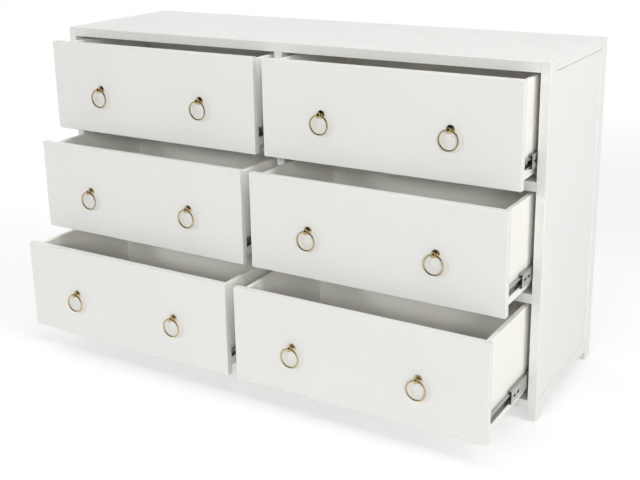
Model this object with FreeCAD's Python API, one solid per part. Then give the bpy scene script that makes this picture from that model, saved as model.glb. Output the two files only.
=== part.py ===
import FreeCAD, Part
import math
import os

V = FreeCAD.Vector

# A white lacquered double chest of drawers: two bays of three inset drawers on telescopic
# ball runners, each drawer with two hanging ring pulls, in a case of framed sides.
# Millimetres, +Z up, drawer fronts facing -Y. The drawers stand part open, each row alike.

# Case
case_width = 1372.0
case_depth = 406.0
case_height = 838.0
top_thickness = 24.0
leg_thickness = 22.0
leg_width = 38.0
foot_height = 28.0
partition_thickness = 22.0
edge_ease = 1.5

# Framed sides: panels tongued into grooves in the legs and rails
side_bottom_rail_height = 24.0
side_panel_recess = 3.0
tongue_thickness = 8.0
tongue_length = 6.0
tongue_offset = 5.0
tenon_shoulder = 4.0
groove_slack = 0.3

# Front rails, rear rails, bottom and back
rail_thickness = 22.0
rail_depth = 60.0
rail_setback = 1.5
rear_rail_height = 50.0
rear_rail_thickness = 20.0
bottom_thickness = 10.0
back_thickness = 5.0
back_rebate = 10.0

# Foot glides
glide_height = 3.0
glide_diameter = 16.0
glide_ease = 0.8

# Drawers
front_thickness = 18.0
front_ease = 1.0
row_reveal = 1.5
side_reveal = 2.0
box_lift = 13.0
box_drop = 8.0
box_side_thickness = 12.0
box_back_thickness = 12.0
box_bottom_thickness = 5.0
box_bottom_inset = 10.0
box_groove_depth = 5.0

# How far each row stands open
upper_pull_out = 90.0
middle_pull_out = 157.0
lower_pull_out = 238.0

# Telescopic runners
runner_length = 350.0
runner_gap = 12.7
runner_height = 45.0
runner_setback = 2.0
runner_rise = 36.5
steel = 1.2
bend = 1.0
ball_diameter = 4.0
race_clearance = 0.3
web_clearance = 0.3
case_tip = 10.0
slide_tip = 11.0
drawer_tip = 5.0
channel_lip = 2.0
cage_sheet = 0.5
cage_length = 90.0
case_cage_start = 230.0
drawer_cage_start = 50.0
ball_row_reach = 6.8
stop_height = 12.0
slot_length = 12.0
slot_width = 5.0
slot_first = 18.0
slot_pitch = 22.0
slot_tip_share = 0.4

# Ring pulls
rosette_diameter = 20.0
rosette_thickness = 2.5
rosette_ease = 1.0
neck_diameter = 8.0
knob_diameter = 11.0
knob_start = 7.0
knob_end = 16.0
knob_ease = 1.4
ring_standoff = 11.5
ring_radius = 23.0
wire_diameter = 4.0
ring_clearance = 0.3
pull_place_share = 0.25

# Counts
row_names = ("lower", "middle", "upper")
pull_outs = (lower_pull_out, middle_pull_out, upper_pull_out)
bays = (("left", -1), ("right", 1))
ring_facets = 24
wire_facets = 8
post_facets = 16
bead_facets = 8

# Cuts run past the faces they open by this much, and points this close are one place
overrun = 1.0
same_place = 0.001

# Places worked out from the sizes above
half_width = case_width / 2
inner_wall = half_width - leg_thickness
partition_wall = partition_thickness / 2
bay_width = inner_wall - partition_wall
bay_centre = (inner_wall + partition_wall) / 2
top_underside = case_height - top_thickness
floor_level = foot_height + rail_thickness
row_pitch = (top_underside - foot_height) / len(row_names)
front_height = row_pitch - rail_thickness - 2 * row_reveal
front_width = bay_width - 2 * side_reveal
box_width = bay_width - 2 * runner_gap
box_depth = runner_setback + runner_length
back_face = case_depth - back_thickness
tongue_inner = inner_wall + tongue_offset
tongue_outer = tongue_inner + tongue_thickness
knob_radius = knob_diameter / 2
wire_radius = wire_diameter / 2
ring_sag = ring_radius - math.sqrt(ring_radius ** 2 - knob_radius ** 2)
eye_radius = wire_radius + ring_sag / 2 + ring_clearance
case_half = runner_height / 2
slide_half = case_half - steel - ball_diameter - race_clearance
drawer_half = slide_half - steel - ball_diameter - race_clearance
slide_web = steel + web_clearance + cage_sheet

# The frame's origin lies on the floor under the middle of the whole part as it stands open
middle_y = (case_depth - max(pull_outs) - knob_end) / 2


def board(x, y, z):
    """A box between the two values given along each axis."""
    low = V(min(x), min(y), min(z))
    high = V(max(x), max(y), max(z))
    size = high - low
    return Part.makeBox(size.x, size.y, size.z, low)


def on_planes(edge, planes):
    """Whether an edge lies in every plane given as (axis, value)."""
    return all(
        abs(getattr(vertex.Point, axis) - value) < same_place
        for vertex in edge.Vertexes
        for axis, value in planes
    )


def eased(shape, size, *corners):
    """The shape with the edges in each group of planes chamfered."""
    picked = [edge for edge in shape.Edges if any(on_planes(edge, planes) for planes in corners)]
    return shape.makeChamfer(size, picked)


def save(node, *solids):
    """Writes one node, moved into the part's frame."""
    shape = solids[0] if len(solids) == 1 else Part.makeCompound(solids)
    shape = shape.copy()
    shape.translate(V(0, -middle_y, 0))
    shape.exportStep(os.path.join("parts", node + ".step"))


def leg(hand, is_rear):
    """A corner leg, grooved for the side's rails and panel and, at the rear, rebated for the back."""
    outer_y = case_depth if is_rear else 0
    inward = -1 if is_rear else 1
    inner_y = outer_y + inward * leg_width
    groove_y = inner_y - inward * (tongue_length + groove_slack)
    body = board((hand * inner_wall, hand * half_width), (outer_y, inner_y), (glide_height, case_height))
    body = eased(
        body,
        edge_ease,
        (("x", hand * half_width), ("y", outer_y)),
        (("x", hand * half_width), ("z", case_height)),
        (("y", outer_y), ("z", case_height)),
    )
    groove = board(
        (hand * tongue_inner, hand * tongue_outer),
        (groove_y, inner_y + inward * overrun),
        (foot_height + tenon_shoulder, case_height - tenon_shoulder),
    )
    body = body.cut(groove)
    if is_rear:
        rebate = board(
            (hand * (inner_wall - overrun), hand * (inner_wall + back_rebate)),
            (back_face, case_depth + overrun),
            (foot_height, top_underside),
        )
        body = body.cut(rebate)
    return body


def side_rail(hand, is_top):
    """A rail between two legs, with a stub tenon at each end and a groove for the panel's tongue."""
    low = top_underside if is_top else foot_height
    high = case_height if is_top else foot_height + side_bottom_rail_height
    tenon_low = low + tongue_length if is_top else low + tenon_shoulder
    tenon_high = high - tenon_shoulder if is_top else high - tongue_length
    panel_edge = low if is_top else high
    into_rail = 1 if is_top else -1
    body = board((hand * inner_wall, hand * half_width), (leg_width, case_depth - leg_width), (low, high))
    if is_top:
        body = eased(body, edge_ease, (("x", hand * half_width), ("z", high)))
    tenons = board(
        (hand * tongue_inner, hand * tongue_outer),
        (leg_width - tongue_length, case_depth - leg_width + tongue_length),
        (tenon_low, tenon_high),
    )
    groove = board(
        (hand * tongue_inner, hand * tongue_outer),
        (leg_width - overrun - tongue_length, case_depth - leg_width + tongue_length + overrun),
        (panel_edge - into_rail * overrun, panel_edge + into_rail * tongue_length),
    )
    return body.fuse(tenons).cut(groove).removeSplitter()


def side_panel(hand):
    """A side panel, flush inside, a little recessed outside, tongued on all four edges."""
    low = foot_height + side_bottom_rail_height
    core = board(
        (hand * inner_wall, hand * (half_width - side_panel_recess)),
        (leg_width, case_depth - leg_width),
        (low, top_underside),
    )
    tongue = board(
        (hand * tongue_inner, hand * tongue_outer),
        (leg_width - tongue_length, case_depth - leg_width + tongue_length),
        (low - tongue_length, top_underside + tongue_length),
    )
    return core.fuse(tongue).removeSplitter()


def foot_glide(hand, is_rear):
    """A round glide under the middle of a leg, with a chamfered rim."""
    centre_y = case_depth - leg_width / 2 if is_rear else leg_width / 2
    centre = V(hand * (half_width - leg_thickness / 2), centre_y, 0)
    disc = Part.makeCylinder(glide_diameter / 2, glide_height, centre)
    return eased(disc, glide_ease, (("z", 0),))


def front_rail(hand, level):
    """A rail between two rows, from the middle partition to the side."""
    low = foot_height + level * row_pitch
    return board(
        (hand * partition_wall, hand * inner_wall),
        (rail_setback, rail_setback + rail_depth),
        (low, low + rail_thickness),
    )


def rear_rail(hand):
    """A rail under the top at the back, from the middle partition to the rear leg."""
    return board(
        (hand * partition_wall, hand * inner_wall),
        (back_face - rear_rail_thickness, back_face),
        (top_underside - rear_rail_height, top_underside),
    )


def save_case():
    """Writes the standing case, apart from its runners."""
    inner_span = (-inner_wall, inner_wall)
    top = board(inner_span, (0, case_depth), (top_underside, case_height))
    top_edges = ((("y", 0), ("z", case_height)), (("y", case_depth), ("z", case_height)))
    save("top_panel", eased(top, edge_ease, *top_edges))
    for side, hand in bays:
        save(f"{side}_front_leg", leg(hand, False))
        save(f"{side}_rear_leg", leg(hand, True))
        save(f"{side}_side_panel", side_panel(hand))
        save(f"{side}_side_rails", side_rail(hand, False), side_rail(hand, True))
    save(
        "centre_partition",
        board((-partition_wall, partition_wall), (rail_setback, back_face), (floor_level, top_underside)),
    )
    levels = range(1, len(row_names))
    save("front_rails", *[front_rail(hand, level) for side, hand in bays for level in levels])
    rail_back = rail_setback + rail_depth
    save("bottom_front_rail", board(inner_span, (rail_setback, rail_back), (foot_height, floor_level)))
    bottom_heights = (floor_level - bottom_thickness, floor_level)
    save("bottom_panel", board(inner_span, (rail_back, back_face), bottom_heights))
    back_half = inner_wall + back_rebate
    save("back_panel", board((-back_half, back_half), (back_face, case_depth), (foot_height, top_underside)))
    save("rear_rails", *[rear_rail(hand) for side, hand in bays])
    save("foot_glides", *[foot_glide(hand, rear) for side, hand in bays for rear in (False, True)])


class Runner:
    """One telescopic runner: where its wall stands, which way its drawer lies, its height and pull-out."""

    def __init__(self, wall_x, towards_drawer, centre_z, pull_out):
        self.wall_x = wall_x
        self.towards_drawer = towards_drawer
        self.centre_z = centre_z
        self.front = front_thickness + runner_setback
        self.pull_out = pull_out

    def prism(self, outline, start, length):
        """A length of the section whose outline is given as (reach from the wall, height) points."""
        loop = [V(self.wall_x + self.towards_drawer * u, start, self.centre_z + v) for u, v in outline]
        return Part.Face(Part.makePolygon(loop + loop[:1])).extrude(V(0, length, 0))

    def strip(self, reach, height, start, length):
        """A flat strip between two reaches from the wall and two heights."""
        (u0, u1), (v0, v1) = reach, height
        return self.prism(((u0, v0), (u1, v0), (u1, v1), (u0, v1)), start, length)

    def case_member(self):
        """The fixed outer channel on the case wall."""
        return self.prism(channel(0, case_tip, case_half), self.front, runner_length)

    def slide_member(self):
        """The intermediate channel, half way out, with slots through its web."""
        start = self.front - self.pull_out / 2
        body = self.prism(channel(slide_web, slide_tip, slide_half), start, runner_length)
        for place in (slot_first, slot_first + slot_pitch):
            body = body.cut(self.slot(start + place))
        return body

    def slot(self, centre_y):
        """A slot with drawn-in ends through the intermediate channel's web."""
        half = slot_length / 2
        shoulder = half - slot_width / 2
        rise = slot_width / 2
        tip = slot_tip_share * rise
        right = [(shoulder, -rise), (half, -tip), (half, tip), (shoulder, rise)]
        outline = right + [(-y, -z) for y, z in right]
        x = self.wall_x + self.towards_drawer * (slide_web - overrun)
        loop = [V(x, centre_y + y, self.centre_z + z) for y, z in outline]
        depth = self.towards_drawer * (steel + 2 * overrun)
        return Part.Face(Part.makePolygon(loop + loop[:1])).extrude(V(depth, 0, 0))

    def cage(self, web, row_height, start):
        """A ball cage: a thin web, an arm at each edge and the row of balls there as one bead."""
        length = cage_length
        body = self.strip((web, web + cage_sheet), (-row_height, row_height), start, length)
        for side in (-1, 1):
            bead = polygon(ball_row_reach, side * row_height, ball_diameter / 2, bead_facets)
            edges = (side * row_height, side * (row_height - cage_sheet))
            arm = self.strip((web, ball_row_reach), edges, start, length)
            body = body.fuse(arm).fuse(self.prism(bead, start, length))
        return body.removeSplitter()

    def case_cage(self):
        """The balls between the fixed channel and the intermediate one."""
        start = self.front - self.pull_out / 2 + case_cage_start
        return self.cage(slide_web - cage_sheet, slide_half + ball_diameter / 2, start)

    def drawer_cage(self):
        """The balls between the intermediate channel and the drawer's one."""
        start = self.front - self.pull_out / 2 + drawer_cage_start
        return self.cage(slide_web + steel, slide_half - steel - ball_diameter / 2, start)

    def drawer_member(self):
        """The inner channel on the drawer's side, with a stop tab bent across its front end."""
        start = self.front - self.pull_out
        body = self.prism(channel(runner_gap, drawer_tip, drawer_half), start, runner_length)
        tab = self.strip((drawer_tip, runner_gap), (-stop_height / 2, stop_height / 2), start, steel)
        return body.fuse(tab).removeSplitter()


def channel(web, tip, half_height):
    """The outline of a lipped channel from the back of its web to the tips of its flanges."""
    out = math.copysign(1, tip - web)
    upper = [
        (web, half_height - bend),
        (web + out * bend, half_height),
        (tip, half_height),
        (tip, half_height - channel_lip),
        (tip - out * steel, half_height - channel_lip),
        (tip - out * steel, half_height - steel),
        (web + out * steel, half_height - steel),
    ]
    return upper + [(u, -v) for u, v in reversed(upper)]


def polygon(u, v, inner_radius, sides):
    """The corners of a regular polygon with flat top and bottom, round a point."""
    corner_radius = inner_radius / math.cos(math.pi / sides)
    angles = [2 * math.pi * (corner + 1 / 2) / sides for corner in range(sides)]
    return [(u + corner_radius * math.cos(angle), v + corner_radius * math.sin(angle)) for angle in angles]


def drawer_front(centre_x, low, face):
    """A drawer front with eased face edges and a groove behind for the drawer's bottom."""
    half = front_width / 2
    back = face + front_thickness
    body = board((centre_x - half, centre_x + half), (face, back), (low, low + front_height))
    body = eased(body, front_ease, (("y", face),))
    groove_half = box_width / 2 - box_side_thickness + box_groove_depth
    groove_low = low + box_lift + box_bottom_inset
    groove = board(
        (centre_x - groove_half, centre_x + groove_half),
        (back - box_groove_depth, back + overrun),
        (groove_low, groove_low + box_bottom_thickness),
    )
    return body.cut(groove)


def drawer_box(centre_x, low, face):
    """The two sides, the back and the bottom of a drawer, as separate boards."""
    half = box_width / 2
    inner = half - box_side_thickness
    start = face + front_thickness
    end = start + box_depth
    bottom = low + box_lift
    top = low + front_height - box_drop
    panel_low = bottom + box_bottom_inset
    panel_top = panel_low + box_bottom_thickness
    reach = inner + box_groove_depth
    panel_span = (centre_x - reach, centre_x + reach)
    panel = board(panel_span, (start - box_groove_depth, end), (panel_low, panel_top))
    sides = []
    for hand in (-1, 1):
        side = board((centre_x + hand * inner, centre_x + hand * half), (start, end), (bottom, top))
        sides.append(side.cut(panel))
    back = board((centre_x - inner, centre_x + inner), (end - box_back_thickness, end), (panel_top, top))
    return [*sides, back, panel]


def skinned(loops, is_ring):
    """A solid of flat faces between neighbouring loops of points, a closed ring or capped at its ends."""
    pairs = list(zip(loops, loops[1:]))
    rims = [loops[0], loops[-1]]
    if is_ring:
        pairs.append((loops[-1], loops[0]))
        rims = []
    for here, there in pairs:
        for side in range(len(here)):
            rims.append([here[side - 1], here[side], there[side], there[side - 1]])
    return Part.Solid(Part.Shell([Part.Face(Part.makePolygon(rim + rim[:1])) for rim in rims]))


def pull_post(x, z, face):
    """A turned rosette, neck and knob, drawn with facets, with an eye across the knob for the ring."""
    rosette = rosette_diameter / 2
    neck = neck_diameter / 2
    outline = (
        (rosette, 0),
        (rosette, rosette_thickness - rosette_ease),
        (rosette - rosette_ease, rosette_thickness),
        (neck, rosette_thickness),
        (neck, knob_start),
        (knob_radius, knob_start),
        (knob_radius, knob_end - knob_ease),
        (knob_radius - knob_ease, knob_end),
    )
    turns = [2 * math.pi * step / post_facets for step in range(post_facets)]
    loops = [
        [V(x + radius * math.cos(turn), face - reach, z + radius * math.sin(turn)) for turn in turns]
        for radius, reach in outline
    ]
    eye_x = x - knob_radius - overrun
    eye_outline = polygon(ring_standoff, 0, eye_radius, wire_facets)
    rim = [V(eye_x, face - reach, z + rise) for reach, rise in eye_outline]
    eye = Part.Face(Part.makePolygon(rim + rim[:1])).extrude(V(knob_diameter + 2 * overrun, 0, 0))
    return skinned(loops, False).cut(eye)


def pull_ring(x, z, face):
    """The hanging ring of round wire, drawn with facets, its top running through the eye."""
    centre = V(x, face - ring_standoff, z + ring_sag / 2 - ring_radius)
    section = polygon(ring_radius, 0, wire_radius * math.cos(math.pi / wire_facets), wire_facets)
    loops = []
    for step in range(ring_facets):
        turn = 2 * math.pi * step / ring_facets
        outward = V(math.sin(turn), 0, math.cos(turn))
        loops.append([centre + outward * u + V(0, v, 0) for u, v in section])
    return skinned(loops, True)


def save_drawer(name, hand, level, pull_out):
    """Writes one drawer, its pulls and its pair of runners, and returns the fixed channels."""
    low = floor_level + row_reveal + level * row_pitch
    centre_x = hand * bay_centre
    face = -pull_out
    save(f"{name}_drawer_front", drawer_front(centre_x, low, face))
    save(f"{name}_drawer_box", *drawer_box(centre_x, low, face))
    pull_z = low + front_height / 2
    pull_reach = pull_place_share * front_width
    pulls = [("left", centre_x - pull_reach), ("right", centre_x + pull_reach)]
    save(f"{name}_pull_posts", *[pull_post(x, pull_z, face) for side, x in pulls])
    for side, x in pulls:
        save(f"{name}_drawer_{side}_ring", pull_ring(x, pull_z, face))
    runner_z = low + box_lift + runner_rise
    runners = [Runner(centre_x + side * bay_width / 2, -side, runner_z, pull_out) for side in (-1, 1)]
    slides = [(runner.slide_member(), runner.case_cage(), runner.drawer_cage()) for runner in runners]
    save(f"{name}_runner_slides", *slides[0], *slides[1])
    save(f"{name}_drawer_runners", *[runner.drawer_member() for runner in runners])
    return [runner.case_member() for runner in runners]


def main():
    """Writes every node."""
    os.makedirs("parts", exist_ok=True)
    save_case()
    for bay, hand in bays:
        fixed = []
        for level, row in enumerate(row_names):
            fixed += save_drawer(f"{row}_{bay}", hand, level, pull_outs[level])
        save(f"{bay}_case_runners", *fixed)


main()
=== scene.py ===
"""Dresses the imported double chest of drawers: lacquered boards, pressed runners and ring pulls.

Every piece is built in the row frame, in metres, round the boxes of the frame's own nodes.
"""

import logging
import math
from collections.abc import Iterator, Sequence
from contextlib import contextmanager
from dataclasses import dataclass
from enum import Enum

import bmesh
import bpy
from mathutils import Matrix, Vector

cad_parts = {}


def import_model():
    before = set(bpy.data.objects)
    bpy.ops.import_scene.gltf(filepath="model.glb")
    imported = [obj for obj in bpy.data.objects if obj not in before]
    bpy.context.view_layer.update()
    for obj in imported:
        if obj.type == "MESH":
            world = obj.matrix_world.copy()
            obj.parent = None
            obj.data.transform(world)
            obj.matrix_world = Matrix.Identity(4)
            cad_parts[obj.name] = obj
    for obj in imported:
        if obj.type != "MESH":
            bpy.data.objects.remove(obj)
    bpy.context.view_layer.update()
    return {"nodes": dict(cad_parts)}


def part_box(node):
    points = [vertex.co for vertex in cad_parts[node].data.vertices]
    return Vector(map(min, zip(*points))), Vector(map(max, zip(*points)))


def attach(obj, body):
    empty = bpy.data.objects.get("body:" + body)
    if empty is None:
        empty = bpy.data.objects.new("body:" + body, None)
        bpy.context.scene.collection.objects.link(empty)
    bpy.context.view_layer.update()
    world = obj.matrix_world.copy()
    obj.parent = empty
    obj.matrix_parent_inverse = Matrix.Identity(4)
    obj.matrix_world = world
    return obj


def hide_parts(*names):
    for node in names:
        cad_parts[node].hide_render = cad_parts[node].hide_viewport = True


Piece = bpy.types.Object
Material = bpy.types.Material
Socket = bpy.types.NodeSocket
Nodes = dict[str, Piece]
Inputs = dict[str | int, object]
Pair = tuple[float, float]
Point = tuple[float, float, float]
Colour = tuple[float, float, float, float]
Outline = Sequence[Pair]
Planes = Sequence[tuple[int, float]]

LOG = logging.getLogger("chest_of_drawers")
SAME_PLACE = 0.00002
X, Y, Z = range(3)
FORWARD = Vector((0, -1, 0))
BACKWARD = Vector((0, 1, 0))
WHITE: Colour = (1.0, 1.0, 1.0, 1.0)


class Row(Enum):
    """The rows of drawers, from the floor up."""

    LOWER = "lower"
    MIDDLE = "middle"
    UPPER = "upper"


class Side(Enum):
    """The two sides of the chest, of a drawer or of a pull."""

    LEFT = "left"
    RIGHT = "right"

    @property
    def sign(self) -> int:
        """-1 on the left, 1 on the right."""
        return -1 if self is Side.LEFT else 1


class Effect(Enum):
    """Surface effects that several finishes share."""

    TONE_DRIFT = "tone_drift"
    SHEEN_PATCHES = "sheen_patches"
    SPRAYED_HEIGHT = "sprayed_height"
    DRAWN_LINES = "drawn_lines"


@dataclass(frozen=True)
class Span:
    """A box in the row frame between two corners."""

    low: Vector
    high: Vector

    @classmethod
    def of(cls, node: str) -> "Span":
        """The box of a frame node at rest."""
        return cls(*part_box(node))

    @classmethod
    def between(cls, x: Pair, y: Pair, z: Pair) -> "Span":
        """The box between two values along each axis, given in either order."""
        return cls(Vector(map(min, (x, y, z))), Vector(map(max, (x, y, z))))

    @property
    def centre(self) -> Vector:
        """The middle of the box."""
        return (self.low + self.high) / 2

    @property
    def size(self) -> Vector:
        """The box's length along each axis."""
        return self.high - self.low

    def along(self, axis: int) -> Pair:
        """The box's lowest and highest value along one axis."""
        return self.low[axis], self.high[axis]


def solids(node: Piece) -> list[Span]:
    """Finds the separate solids of a frame node that don't share corners.

    Args:
        node: the node's object.

    Returns:
        The box of each solid, by height and then from left to right.
    """
    mesh = bmesh.new()
    mesh.from_mesh(node.data)
    bmesh.ops.remove_doubles(mesh, verts=mesh.verts, dist=SAME_PLACE)
    left = set(mesh.verts)
    found = []
    while left:
        reached = [left.pop()]
        for corner in reached:
            beyond = {edge.other_vert(corner) for edge in corner.link_edges} & left
            left -= beyond
            reached.extend(beyond)
        axes = [[corner.co[axis] for corner in reached] for axis in (X, Y, Z)]
        found.append(Span(Vector(map(min, axes)), Vector(map(max, axes))))
    mesh.free()
    return sorted(found, key=lambda span: (round(span.centre.z, 4), span.centre.x))


class Graph:
    """A node tree that is being wired."""

    def __init__(self, tree: bpy.types.NodeTree) -> None:
        """Takes the tree to wire."""
        self.tree = tree

    def add(self, kind: str, inputs: Inputs | None = None, **options: object) -> bpy.types.Node:
        """Adds a node.

        Args:
            kind: the node's type.
            inputs: what to link to, or set on, each input socket.
            options: the node's own options.

        Returns:
            The new node.
        """
        node = self.tree.nodes.new(kind)
        for option, value in options.items():
            setattr(node, option, value)
        for socket, value in (inputs or {}).items():
            if isinstance(value, Socket):
                self.link(value, node.inputs[socket])
            else:
                node.inputs[socket].default_value = value
        return node

    def link(self, value: Socket, socket: Socket) -> None:
        """Links a value to a socket."""
        self.tree.links.new(value, socket)

    def combine(self, operation: str, first: object, second: object) -> Socket:
        """Works one value out of two, each a socket or a number."""
        return self.add("ShaderNodeMath", {0: first, 1: second}, operation=operation).outputs[0]

    def coordinates(self) -> Socket:
        """Adds the Object coordinates."""
        return self.add("ShaderNodeTexCoord").outputs["Object"]

    def stretched(self, factors: Socket) -> Socket:
        """Adds the Object coordinates times these factors."""
        inputs = {0: self.coordinates(), 1: factors}
        return self.add("ShaderNodeVectorMath", inputs, operation="MULTIPLY").outputs[0]

    def blend(self, share: object, first: object, second: object) -> Socket:
        """Mixes two colours by the second one's share."""
        return self.add("ShaderNodeMix", {0: share, 6: first, 7: second}, data_type="RGBA").outputs[2]

    def spread(self, value: Socket, source: Pair, low: object, high: object) -> Socket:
        """Maps a value from one range to the range between low and high."""
        limits = {"From Min": source[0], "From Max": source[1], "To Min": low, "To Max": high}
        return self.add("ShaderNodeMapRange", {"Value": value, **limits}).outputs["Result"]

    def noise(self, scale: object, detail: float, vector: object = None) -> Socket:
        """Adds a noise on these coordinates, or else on Object coordinates."""
        inputs = {"Vector": vector or self.coordinates(), "Scale": scale, "Detail": detail}
        return self.add("ShaderNodeTexNoise", inputs).outputs["Fac"]


class EffectShelf:
    """The shared surface effects, each a node group that is built once."""

    middle: Pair = (0.35, 0.65)
    cloud_detail: float = 4.0
    patch_detail: float = 3.0
    pebble_detail: float = 1.0
    wave_detail: float = 0.0
    line_detail: float = 2.0

    def __init__(self) -> None:
        """Starts with no group built."""
        self.groups: dict[Effect, bpy.types.NodeTree] = {}

    def place(self, graph: Graph, effect: Effect, inputs: Inputs) -> Socket:
        """Places an effect in a material.

        Args:
            graph: the material's tree.
            effect: which effect.
            inputs: its values in this material.

        Returns:
            The effect's output socket.
        """
        if effect not in self.groups:
            self.groups[effect] = self.built(effect, inputs)
        return graph.add("ShaderNodeGroup", inputs, node_tree=self.groups[effect]).outputs[0]

    def built(self, effect: Effect, inputs: Inputs) -> bpy.types.NodeTree:
        """Builds an effect's group.

        Args:
            effect: the effect, which names the group.
            inputs: values for which the group gets sockets.

        Returns:
            The group.
        """
        fill = {
            Effect.TONE_DRIFT: self.tone_drift,
            Effect.SHEEN_PATCHES: self.sheen_patches,
            Effect.SPRAYED_HEIGHT: self.sprayed_height,
            Effect.DRAWN_LINES: self.drawn_lines,
        }[effect]
        tree = bpy.data.node_groups.new(effect.value, "ShaderNodeTree")
        for name, value in inputs.items():
            kind = "Float" if isinstance(value, float) else "Vector" if len(value) == 3 else "Color"
            tree.interface.new_socket(name=name, in_out="INPUT", socket_type=f"NodeSocket{kind}")
        kind = "Color" if effect is Effect.TONE_DRIFT else "Float"
        tree.interface.new_socket(name="Value", in_out="OUTPUT", socket_type=f"NodeSocket{kind}")
        graph = Graph(tree)
        given, result = graph.add("NodeGroupInput"), graph.add("NodeGroupOutput")
        graph.link(fill(graph, given.outputs), result.inputs[0])
        return tree

    def drift(self, graph: Graph, inputs: tuple[object, ...], low: object, high: object) -> Socket:
        """Adds a noise whose middle range is spread between low and high."""
        return graph.spread(graph.noise(*inputs), self.middle, low, high)

    def tone_drift(self, graph: Graph, given: bpy.types.NodeOutputs) -> Socket:
        """A colour that drifts towards a tint in soft clouds."""
        share = self.drift(graph, (given["Scale"], self.cloud_detail), 0.0, given["Strength"])
        return graph.blend(share, given["Colour"], given["Tint"])

    def sheen_patches(self, graph: Graph, given: bpy.types.NodeOutputs) -> Socket:
        """A roughness that wanders between two values."""
        inputs = (given["Scale"], self.patch_detail)
        return self.drift(graph, inputs, given["Low"], given["High"])

    def sprayed_height(self, graph: Graph, given: bpy.types.NodeOutputs) -> Socket:
        """The height of a sprayed coat: a fine pebbling over a slow wave."""
        pebbles = graph.noise(given["Scale"], self.pebble_detail)
        return graph.combine("ADD", pebbles, graph.noise(given["Wave"], self.wave_detail))

    def drawn_lines(self, graph: Graph, given: bpy.types.NodeOutputs) -> Socket:
        """Fine lines drawn out along one direction, as by rolling or polishing."""
        inputs = (1.0, self.line_detail, graph.stretched(given["Stretch"]))
        return self.drift(graph, inputs, given["Low"], given["High"])


def new_material(name: str, constants: Inputs) -> tuple[Material, Graph, bpy.types.Node]:
    """Starts a material.

    Args:
        name: the material's name.
        constants: the values that are the same all over its shader.

    Returns:
        The material, its graph and its shader.
    """
    material = bpy.data.materials.new(name)
    material.use_nodes = True
    graph = Graph(material.node_tree)
    shader = material.node_tree.nodes["Principled BSDF"]
    for socket, value in constants.items():
        shader.inputs[socket].default_value = value
    return material, graph, shader


@dataclass(frozen=True, kw_only=True)
class Finish:
    """What all finishes have: a tone with a slight drift, a sheen and a fine relief.

    The drift has a scale and a strength, the sheen a least and a greatest roughness, and the relief
    a scale for its pebbles, one for its wave, and a depth.
    """

    name: str
    colour: Colour
    tint: Colour
    drift: Pair
    sheen: Pair
    relief: Point

    def constants(self) -> Inputs:
        """The values that are the same all over its shader."""
        raise NotImplementedError

    def sheen_effect(self) -> tuple[Effect, Inputs]:
        """The effect that gives its roughness, and the effect's values."""
        raise NotImplementedError

    def material(self, effects: EffectShelf) -> Material:
        """Builds the finish.

        Args:
            effects: the shared surface effects.

        Returns:
            Its material.
        """
        material, graph, shader = new_material(self.name, self.constants())
        scale, wave, depth = self.relief
        height = effects.place(graph, Effect.SPRAYED_HEIGHT, {"Scale": scale, "Wave": wave})
        bump = graph.add("ShaderNodeBump", {"Height": height, "Distance": depth})
        scale, strength = self.drift
        tone = {"Colour": self.colour, "Tint": self.tint, "Scale": scale, "Strength": strength}
        graph.link(effects.place(graph, Effect.TONE_DRIFT, tone), shader.inputs["Base Color"])
        graph.link(effects.place(graph, *self.sheen_effect()), shader.inputs["Roughness"])
        graph.link(bump.outputs["Normal"], shader.inputs["Normal"])
        return material


@dataclass(frozen=True, kw_only=True)
class PaintFinish(Finish):
    """Paint, lacquer or moulded colour, with a sheen in soft patches."""

    sheen_scale: float
    coat: float = 0.0

    def constants(self) -> Inputs:
        """How much clear coat it has, and how smooth that is."""
        return {"Coat Weight": self.coat, "Coat Roughness": self.sheen[0]}

    def sheen_effect(self) -> tuple[Effect, Inputs]:
        """Gives the sheen in patches."""
        low, high = self.sheen
        return Effect.SHEEN_PATCHES, {"Low": low, "High": high, "Scale": self.sheen_scale}


@dataclass(frozen=True, kw_only=True)
class MetalFinish(Finish):
    """Bare or plated metal, with lines left by rolling or polishing."""

    stretch: Point

    def constants(self) -> Inputs:
        """Metal all over."""
        return {"Metallic": 1.0}

    def sheen_effect(self) -> tuple[Effect, Inputs]:
        """Gives the sheen in drawn lines."""
        low, high = self.sheen
        return Effect.DRAWN_LINES, {"Stretch": self.stretch, "Low": low, "High": high}


WHITE_LACQUER = PaintFinish(
    name="white_lacquer",
    colour=(0.834, 0.832, 0.812, 1.0),
    tint=(0.816, 0.813, 0.788, 1.0),
    drift=(3.0, 0.6),
    sheen=(0.34, 0.44),
    sheen_scale=14.0,
    relief=(700.0, 60.0, 0.00002),
    coat=0.10,
)
DRAWER_BOARD = PaintFinish(
    name="drawer_board",
    colour=(0.930, 0.922, 0.868, 1.0),
    tint=(0.912, 0.900, 0.838, 1.0),
    drift=(9.0, 0.7),
    sheen=(0.48, 0.62),
    sheen_scale=25.0,
    relief=(420.0, 40.0, 0.00003),
)
BACK_BOARD = PaintFinish(
    name="back_board",
    colour=(0.800, 0.794, 0.764, 1.0),
    tint=(0.766, 0.758, 0.722, 1.0),
    drift=(26.0, 0.7),
    sheen=(0.60, 0.78),
    sheen_scale=60.0,
    relief=(900.0, 160.0, 0.00006),
)
GLIDE_PLASTIC = PaintFinish(
    name="glide_plastic",
    colour=(0.200, 0.198, 0.190, 1.0),
    tint=(0.150, 0.148, 0.142, 1.0),
    drift=(120.0, 0.8),
    sheen=(0.42, 0.60),
    sheen_scale=240.0,
    relief=(2600.0, 300.0, 0.00003),
)
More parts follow.
